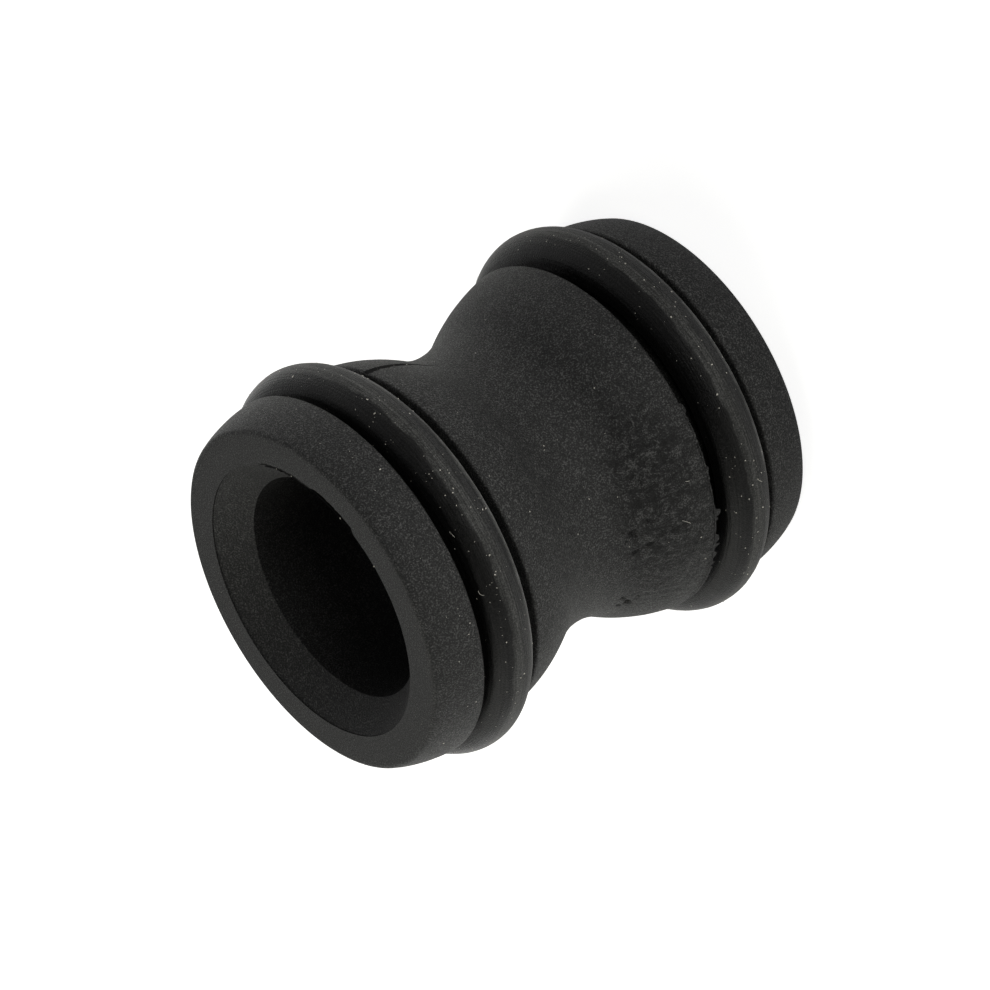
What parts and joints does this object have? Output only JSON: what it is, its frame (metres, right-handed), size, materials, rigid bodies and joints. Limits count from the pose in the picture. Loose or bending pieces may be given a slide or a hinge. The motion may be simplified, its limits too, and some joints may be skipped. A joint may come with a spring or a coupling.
{
  "type": "coolant pipe",
  "caption": "Short moulded coolant connector pipe: hourglass neck, crowned grooved collars with O-rings, straight bore with conical mouths.",
  "frame": {"origin": "centre of the lower end face, on the pipe's axis", "axes": "+Z along the pipe's axis, from the lower end up to the mouth that the picture shows; X and Y are the same all round"},
  "size_m": [0.0322, 0.0322, 0.0372],
  "materials": {
    "moulded_nylon": "matt moulded black nylon with a fine grain",
    "seal_rubber": "semi-matt black moulded seal rubber"
  },
  "bodies": {
    "root": {"pipe_body": "moulded_nylon", "o_ring_upper": "seal_rubber", "o_ring_lower": "seal_rubber"}
  },
  "joints": []
}
